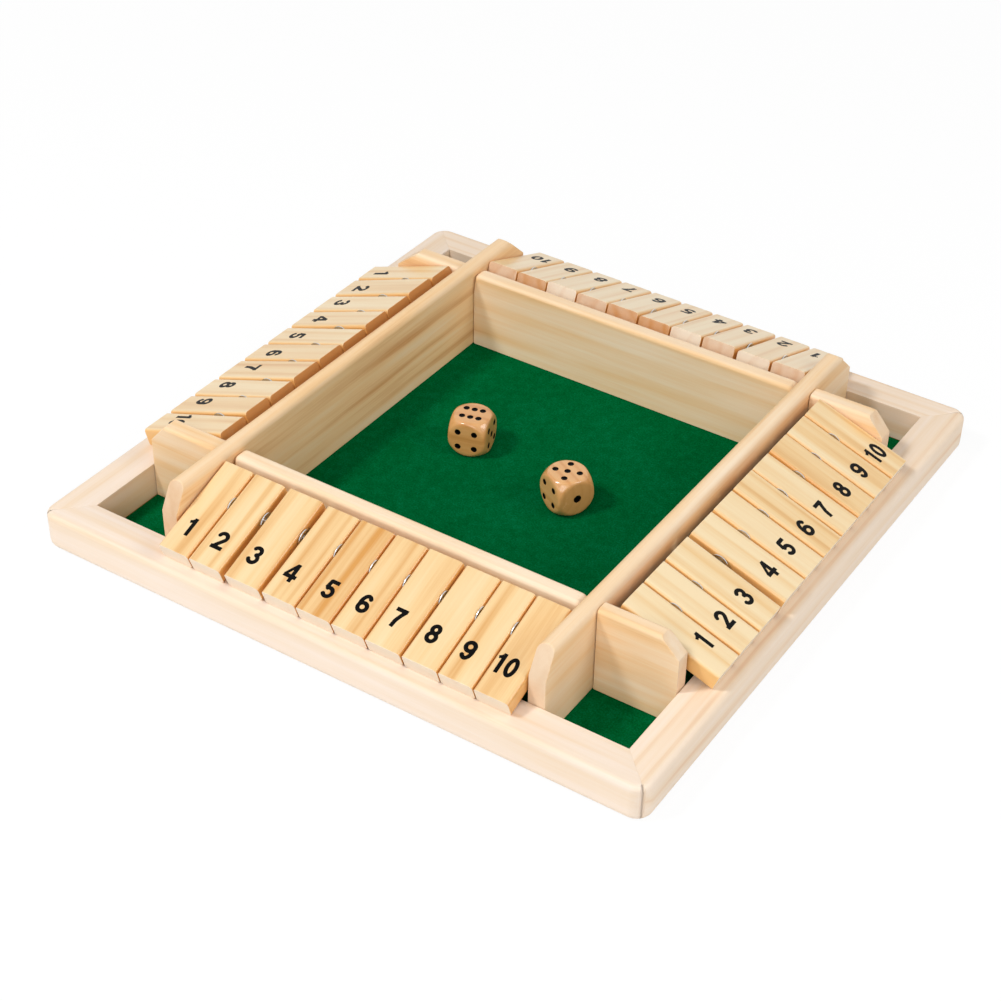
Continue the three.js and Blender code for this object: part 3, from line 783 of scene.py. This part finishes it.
# %% [markdown]
# ## Printed numbers
#
# The numbers are bold, with nearly one thickness of line and square ends, as if drawn with a broad
# pen. So each digit is drawn as strokes of that pen, in millimetres: a cylinder along each step of
# the path, and a ball at each bend. Melted together by a voxel remesh, they cross cleanly. A cut
# through the middle is the digit's outline, which is filled and raised by the thickness of the ink.

# %% Digits
PEN = 1.85
THIN_PEN = 1.4
PEN_SIDES = 32
DIGIT_HALF_WIDTH = 2.0
DIGIT_HALF_HEIGHT = 3.67
INK_THICKNESS = 0.04
INK_LIFT = 0.004
VOXEL = 0.1
SECTION_HEIGHT = 0.01
SECTION_TOUCH = 1e-5


def arc(centre, radii, start, sweep, steps=20):
    """Points on an ellipse, from a start angle through a sweep, in degrees anticlockwise."""
    angles = [math.radians(start + sweep * step / steps) for step in range(steps + 1)]
    return [(centre[0] + radii[0] * math.cos(a), centre[1] + radii[1] * math.sin(a)) for a in angles]


w, h = DIGIT_HALF_WIDTH, DIGIT_HALF_HEIGHT
top = h + PEN / 2
SIX = [(PEN, arc((0.1, 0), (w + 0.05, h), 38, 152)), (PEN, arc((0, -1.7), (w, h - 1.7), 90, 360, 30))]
STROKES = {
    "0": [(PEN, arc((0, 0), (w - 0.15, h), 90, 360, 36))],
    "1": [(PEN, [(0.45, -top), (0.45, top)]), (THIN_PEN, [(0.3, top - 0.75), (-0.6, 2.75), (-1.85, 2.2)])],
    "2": [(PEN, arc((-0.05, h - 1.95), (w, 1.95), 176, -212) + [(-1.6, -h + 0.3)]),
          (PEN, [(-w - 0.95, -h), (w + 0.9, -h)])],
    "3": [(PEN, arc((-0.1, h - 1.72), (1.8, 1.72), 162, -252)),
          (PEN, arc((-0.1, -h + 1.98), (w, 1.98), 90, -262))],
    "4": [(PEN, [(0.95, -top), (0.95, top)]), (THIN_PEN, [(0.75, top - 0.35), (-2.45, -1.4)]),
          (PEN, [(-3.15, -1.85), (3.1, -1.85)])],
    "5": [(PEN, [(2.55, h), (-1.2, h), (-1.75, 0.2)]),
          (PEN, arc((-0.1, -h + 2.1), (w, 2.1), 140, -300))],
    "6": SIX,
    "7": [(PEN, [(-w - 0.75, h), (w + 0.75, h)]),
          (PEN, [(w - 0.15, h - 0.2), (0.75, 1.4), (-0.3, -1.2), (-0.7, -top)])],
    "8": [(PEN, arc((0, h - 1.7), (1.6, 1.7), -90, 360, 30)),
          (PEN, arc((0, -h + 1.95), (w - 0.1, 1.95), 90, 360, 30))],
    "9": [(pen, [(-x, -y) for x, y in path]) for pen, path in SIX],
}


def pen_stroke(strokes):
    """The strokes of a digit as a bmesh of cylinders, with a ball at every bend, in millimetres."""
    bm = bmesh.new()
    for pen, path in strokes:
        points = [Vector((x, y, 0)) for x, y in path]
        closed = (points[0] - points[-1]).length < TOUCH
        for point in points if closed else points[1:-1]:
            bmesh.ops.create_icosphere(bm, subdivisions=2, radius=pen / 2,
                                       matrix=Matrix.Translation(point))
        for start, end in zip(points, points[1:]):
            step = end - start
            place = Matrix.Translation((start + end) / 2) @ upright_to(step)
            bmesh.ops.create_cone(bm, cap_ends=True, segments=PEN_SIDES, radius1=pen / 2,
                                  radius2=pen / 2, depth=step.length, matrix=place)
    return bm


def digit_mesh(digit):
    """One digit as a thin layer of ink on the plane, in millimetres."""
    mesh = bpy.data.meshes.new("stroke")
    bm = pen_stroke(STROKES[digit])
    bm.to_mesh(mesh)
    bm.free()
    stroke = bpy.data.objects.new("stroke", mesh)
    bpy.context.scene.collection.objects.link(stroke)
    melt = stroke.modifiers.new("melt", "REMESH")
    melt.mode = "VOXEL"
    melt.voxel_size = VOXEL
    apply_modifiers(stroke)
    bm = bmesh.new()
    bm.from_mesh(stroke.data)
    bpy.data.objects.remove(stroke)
    bmesh.ops.bisect_plane(bm, geom=bm.verts[:] + bm.edges[:] + bm.faces[:], dist=SECTION_TOUCH,
                           plane_co=(0, 0, SECTION_HEIGHT), plane_no=(0, 0, 1), clear_outer=True,
                           clear_inner=True)
    for vertex in bm.verts:
        vertex.co.z = 0
    bmesh.ops.triangle_fill(bm, edges=bm.edges[:], use_beauty=True, normal=(0, 0, 1))
    raised = bmesh.ops.extrude_face_region(bm, geom=bm.faces[:], use_keep_orig=True)
    top = [item for item in raised["geom"] if isinstance(item, bmesh.types.BMVert)]
    bmesh.ops.translate(bm, vec=(0, 0, INK_THICKNESS), verts=top)
    bmesh.ops.recalc_face_normals(bm, faces=bm.faces)
    layer = bpy.data.meshes.new(f"digit_{digit}")
    bm.to_mesh(layer)
    bm.free()
    return layer


digits = {digit: digit_mesh(digit) for digit in STROKES}
print("triangles in each digit:", {d: len(mesh.polygons) for d, mesh in digits.items()})

# %% Numbers on the tiles
NUMBER_PLACES = {  # how far right of the tile's middle, and how far from its toe, tile 1 to tile 10
    "front": ((-0.2, 13.2), (-0.4, 13.2), (-2.0, 13.5), (-1.8, 13.3), (-0.3, 13.5),
              (-0.6, 13.9), (-1.5, 14.2), (-2.1, 14.3), (-2.3, 14.0), (-1.8, 14.7)),
    "right": ((2.4, 14.4), (1.3, 14.0), (0.3, 14.1), (0.3, 13.9), (-0.7, 14.6),
              (-1.6, 14.0), (-1.6, 13.3), (-0.5, 13.3), (-0.5, 13.1), (-1.3, 12.8)),
    "back": ((1.3, 12.3), (0.8, 11.5), (0.9, 10.8), (-0.5, 12.9), (-0.8, 13.0),
             (-1.4, 12.9), (-1.1, 10.6), (-1.8, 12.0), (-2.0, 12.4), (-1.3, 12.6)),
    "left": ((1.5, 11.0), (1.9, 12.1), (-0.4, 12.1), (0.7, 13.7), (0.6, 12.9),
             (1.8, 14.2), (-1.2, 13.0), (-1.9, 12.8), (-2.0, 13.1), (-1.8, 13.8)),
}
TEN_SQUEEZE = 0.94
TEN_PLACES = {"1": -3.0, "0": 2.4}

for side in SIDES:
    for number in range(1, TILES_PER_SIDE + 1):
        node, centre, (right, inward, up), size = tile_frame(side, number)
        across, from_toe = NUMBER_PLACES[side][number - 1]
        place = centre + right * across * MM - inward * (size.y / 2 - from_toe * MM)
        face = place + up * (size.z / 2 + INK_LIFT * MM)
        stand = turned((right, inward, up), face) @ Matrix.Scale(MM, 4)
        bm = bmesh.new()
        if number < TILES_PER_SIDE:
            layers = [(str(number), Matrix.Identity(4))]
        else:
            squeeze = Matrix.Scale(TEN_SQUEEZE, 4, (1, 0, 0))
            layers = [(d, Matrix.Translation((x, 0, 0)) @ squeeze) for d, x in TEN_PLACES.items()]
        for digit, shift in layers:
            copy = digits[digit].copy()
            copy.transform(stand @ shift)
            bm.from_mesh(copy)
            bpy.data.meshes.remove(copy)
        ink = piece_from(bm, f"number_{side}_{number:02d}")
        ink.data.materials.append(printing_ink)
        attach(ink, body_of[node])
print("numbers:", len(SIDES) * TILES_PER_SIDE)

# %% [markdown]
# ## Dice
#
# Wooden dice are cut as cubes and then tumbled until their corners go round, so each face ends as a
# soft-edged disc. The shape between a cube and a ball is found by blending the two distances from
# the centre, the smaller one winning, with a short smooth changeover that makes the soft edge. The
# pips are drilled with a round-nosed bit and filled with a drop of black enamel: the bit's material
# stays on the dimples it cuts. Opposite faces add up to seven.

# %% Dice
DIE_BALL_SHARE = 1.35
DIE_SOFTNESS = 0.35 * MM
DIE_CUTS = 31
DIE_PITH = (10, 20)
PIP_RADIUS = 1.5 * MM
ONE_PIP_RADIUS = 1.95 * MM
PIP_DEPTH = 0.45 * MM
PIP_STEP = 4.0 * MM
PIP_ROW_STEP = 3.25 * MM
SPOTS = {
    1: [(0, 0)],
    2: [(-1, -1), (1, 1)],
    3: [(-1, -1), (0, 0), (1, 1)],
    4: [(-1, -1), (-1, 1), (1, -1), (1, 1)],
    5: [(-1, -1), (-1, 1), (0, 0), (1, -1), (1, 1)],
    6: [(-1, -1), (0, -1), (1, -1), (-1, 1), (0, 1), (1, 1)],
}
# The number on each face, by the die's own axes: its right, its front, and its top
DICE = {"die_left": {"top": 6, "front": 4, "right": 5, "seed": 301, "tone": 0.25},
        "die_right": {"top": 5, "front": 4, "right": 1, "seed": 302, "tone": 0.1}}


def tumbled_cube(half):
    """A cube whose corners and edges are worn to a ball, as a bmesh about the origin."""
    bm = bar((2 * half, 2 * half, 2 * half))
    bmesh.ops.subdivide_edges(bm, edges=bm.edges[:], cuts=DIE_CUTS, use_grid_fill=True)
    ball = half * DIE_BALL_SHARE
    for vertex in bm.verts:
        direction = vertex.co.normalized()
        flat = half / max(abs(value) for value in direction)
        gap = (flat - ball) / DIE_SOFTNESS
        blended = ball - DIE_SOFTNESS * math.log1p(math.exp(-gap)) if gap > 0 else (
            flat - DIE_SOFTNESS * math.log1p(math.exp(gap)))
        vertex.co = direction * blended
    return bm


def pip_bits(half, axes, faces):
    """All the round noses that drill a die's pips, as one bmesh."""
    right, back, up = axes
    sides = ((up, right, back, faces["top"]), (-back, right, up, faces["front"]),
             (right, back, up, faces["right"]), (-up, right, back, 7 - faces["top"]),
             (back, right, up, 7 - faces["front"]), (-right, back, up, 7 - faces["right"]))
    bm = bmesh.new()
    for outward, across, along, count in sides:
        radius = ONE_PIP_RADIUS if count == 1 else PIP_RADIUS
        nose = (radius ** 2 + PIP_DEPTH ** 2) / (2 * PIP_DEPTH)
        row_step = PIP_ROW_STEP if count == 6 else PIP_STEP
        for x, y in SPOTS[count]:
            place = across * x * PIP_STEP + along * y * row_step + outward * (half - PIP_DEPTH + nose)
            bmesh.ops.create_icosphere(bm, subdivisions=4, radius=nose, matrix=Matrix.Translation(place))
    return bm


for node, faces in DICE.items():
    centre, axes, sizes = block_of(node)
    up = next(axis for axis in axes if abs(axis.z) > 0.9)
    right = max((axis * sign for axis in axes for sign in (1, -1)), key=lambda axis: axis.x)
    back = up.cross(right) if up.z > 0 else right.cross(up)
    half = sizes[0] / 2
    axes = (right, back, Vector((0, 0, 1)))
    bm = tumbled_cube(half)
    bmesh.ops.transform(bm, matrix=turned(axes, Vector()), verts=bm.verts)
    die = piece_from(bm, f"tumbled_{node}")
    die.data.materials.append(dice_wood)
    bits = piece_from(pip_bits(half, axes, faces), "bits")
    bits.data.materials.append(pip_enamel)
    combine(die, bits)
    die.data.transform(Matrix.Translation(centre))
    lay_grain(die, centre, axes, faces["seed"], faces["tone"], DIE_PITH)
    hand_over(die, node, dice_wood)
print("dice:", len(DICE), "size mm:", round(2 * half / MM, 1))

# %% [markdown]
# ## Floor of the tray
#
# The felt is one square, glued to the base before the boards go on top of it, so it shows in the
# tray and in the four corner wells. It is a grid with a slight, uneven rise of the nap, given its
# thickness by a Solidify modifier. The base board below keeps its CAD shape, a plain sheet.

# %% Felt and base
FELT_UNEVENNESS = 0.05 * MM
FELT_CELLS = 90
NAP_SEED = 7

felt_low, felt_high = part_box("felt_sheet")
felt_side = felt_high.x - felt_low.x
bm = bmesh.new()
bmesh.ops.create_grid(bm, x_segments=FELT_CELLS, y_segments=FELT_CELLS, size=felt_side / 2)
nap = random.Random(NAP_SEED)
for vertex in bm.verts:
    vertex.co.z = felt_high.z - nap.uniform(0, FELT_UNEVENNESS)
felt_piece = piece_from(bm, "felt_floor")
body = felt_piece.modifiers.new("sheet", "SOLIDIFY")
body.thickness = felt_high.z - felt_low.z - FELT_UNEVENNESS
body.offset = -1
apply_modifiers(felt_piece)
hand_over(felt_piece, "felt_sheet", felt)

base = nodes["base_board"]
base.data.materials.clear()
base.data.materials.append(hardboard)
print("felt side mm:", round(felt_side / MM, 1))

# %% [markdown]
# ## Camera
#
# The photograph was taken from the front right corner, looking down at about 38 degrees through a
# long lens, with the camera tipped by two degrees. Its place was found by matching the corners of
# the game to the picture. The lens is given as a focal length in pixels of a 1001 pixel frame, and
# the shift moves the middle of the lens off the middle of the frame, as cropping a picture does.

# %% Camera
FRAME_PIXELS = 1001
SENSOR_WIDTH = 36
FOCAL_PIXELS = 2029.8
LENS_CENTRE = (545.8, 522.8)
CAMERA_PLACE = Vector((393.6, -628.7, 556.3)) * MM
AZIMUTH, ELEVATION, TILT = (math.radians(angle) for angle in (31.24, 37.72, 2.05))
CLIP = (0.01, 20)

camera = bpy.data.objects.new("camera", bpy.data.cameras.new("camera"))
bpy.context.scene.collection.objects.link(camera)
back = Vector((math.sin(AZIMUTH) * math.cos(ELEVATION), -math.cos(AZIMUTH) * math.cos(ELEVATION),
               math.sin(ELEVATION)))
level = Vector((math.cos(AZIMUTH), math.sin(AZIMUTH), 0))
right = level * math.cos(TILT) + back.cross(level) * math.sin(TILT)
camera.matrix_world = turned((right, back.cross(right), back), CAMERA_PLACE)
camera.data.sensor_width = SENSOR_WIDTH
camera.data.lens = FOCAL_PIXELS / FRAME_PIXELS * SENSOR_WIDTH
camera.data.shift_x = (FRAME_PIXELS / 2 - LENS_CENTRE[0]) / FRAME_PIXELS
camera.data.shift_y = (LENS_CENTRE[1] - FRAME_PIXELS / 2) / FRAME_PIXELS
camera.data.clip_start, camera.data.clip_end = CLIP
bpy.context.scene.camera = camera
print("lens mm:", round(camera.data.lens, 1))

# %% [markdown]
# ## Studio
#
# A product photograph like this has one main light at the front left, weaker and broader ones at the
# camera's side and the right, and white card all round. The main lamp is small enough for the walls
# to throw a shadow that shows, with a soft edge. What the camera, gloss and glass see behind the
# object is white, through Light Path, while the light that reaches the wood from all round stays at
# the plain level that the world is set to. The floor hides most of the object's shadow likewise.

# %% Studio
FLOOR_REACH = 4.0
ROOM_LIGHT = 0.34
LAMPS = {  # from which side, how high in degrees, strength on a face turned to it, width in metres
    "key": ((-0.6, -0.8), 53, 0.43, 0.3),
    "camera_side": ((0.25, -1.0), 30, 0.27, 1.0),
    "right_side": ((1.0, 0.15), 35, 0.28, 0.8),
}
LAMP_DISTANCE = 1.7
SHADOW_LEFT = 0.12
PAPER_GLOW = 1.04


def seen_directly(tree):
    """1 for what the camera sees, mirrored or through glass too, and 0 for light that falls on things."""
    path = add(tree, "ShaderNodeLightPath")
    glossy = add(tree, "ShaderNodeMath", {
        0: path.outputs["Is Camera Ray"], 1: path.outputs["Is Glossy Ray"],
    }, operation="MAXIMUM")
    return add(tree, "ShaderNodeMath", {
        0: glossy.outputs[0], 1: path.outputs["Is Transmission Ray"],
    }, operation="MAXIMUM").outputs[0]


world = bpy.data.worlds.new("white_room")
bpy.context.scene.world = world
world.use_nodes = True
room = world.node_tree
room.nodes["Background"].inputs["Color"].default_value = colour("FFFFFF")
room.nodes["Background"].inputs["Strength"].default_value = ROOM_LIGHT
card = add(room, "ShaderNodeBackground", {"Color": colour("FFFFFF"), "Strength": 1.0})
both = add(room, "ShaderNodeMixShader", {0: seen_directly(room)})
room.links.new(room.nodes["Background"].outputs[0], both.inputs[1])
room.links.new(card.outputs[0], both.inputs[2])
room.links.new(both.outputs[0], room.nodes["World Output"].inputs["Surface"])

for name, (side, height, strength, width) in LAMPS.items():
    lamp = bpy.data.lights.new(name, "AREA")
    lamp.shape = "DISK"
    lamp.size = width
    lamp.energy = strength * math.pi ** 2 * LAMP_DISTANCE ** 2
    stand = bpy.data.objects.new(name, lamp)
    bpy.context.scene.collection.objects.link(stand)
    level = Vector((side[0], side[1], 0)).normalized()
    rise = math.radians(height)
    direction = level * math.cos(rise) + Vector((0, 0, math.sin(rise)))
    stand.matrix_world = Matrix.Translation(direction * LAMP_DISTANCE) @ upright_to(direction)

bm = bmesh.new()
bmesh.ops.create_grid(bm, x_segments=1, y_segments=1, size=FLOOR_REACH)
floor = piece_from(bm, "pale_floor")
paper, paper_shader = new_material("white_paper_backdrop")
set_shader(paper, {"Base Color": colour("E6E6E6"), "Roughness": 0.9, "Specular IOR Level": 0.1})
paper_tree = paper.node_tree
veil = add(paper_tree, "ShaderNodeMath", {0: seen_directly(paper_tree), 1: 1 - SHADOW_LEFT},
           operation="MULTIPLY")
glow = add(paper_tree, "ShaderNodeEmission", {"Color": colour("FFFFFF"), "Strength": PAPER_GLOW})
blend = add(paper_tree, "ShaderNodeMixShader", {0: veil.outputs[0]})
paper_tree.links.new(paper_shader.outputs[0], blend.inputs[1])
paper_tree.links.new(glow.outputs[0], blend.inputs[2])
paper_tree.links.new(blend.outputs[0], paper_tree.nodes["Material Output"].inputs["Surface"])
floor.data.materials.append(paper)
bpy.context.scene.view_settings.view_transform = "Standard"
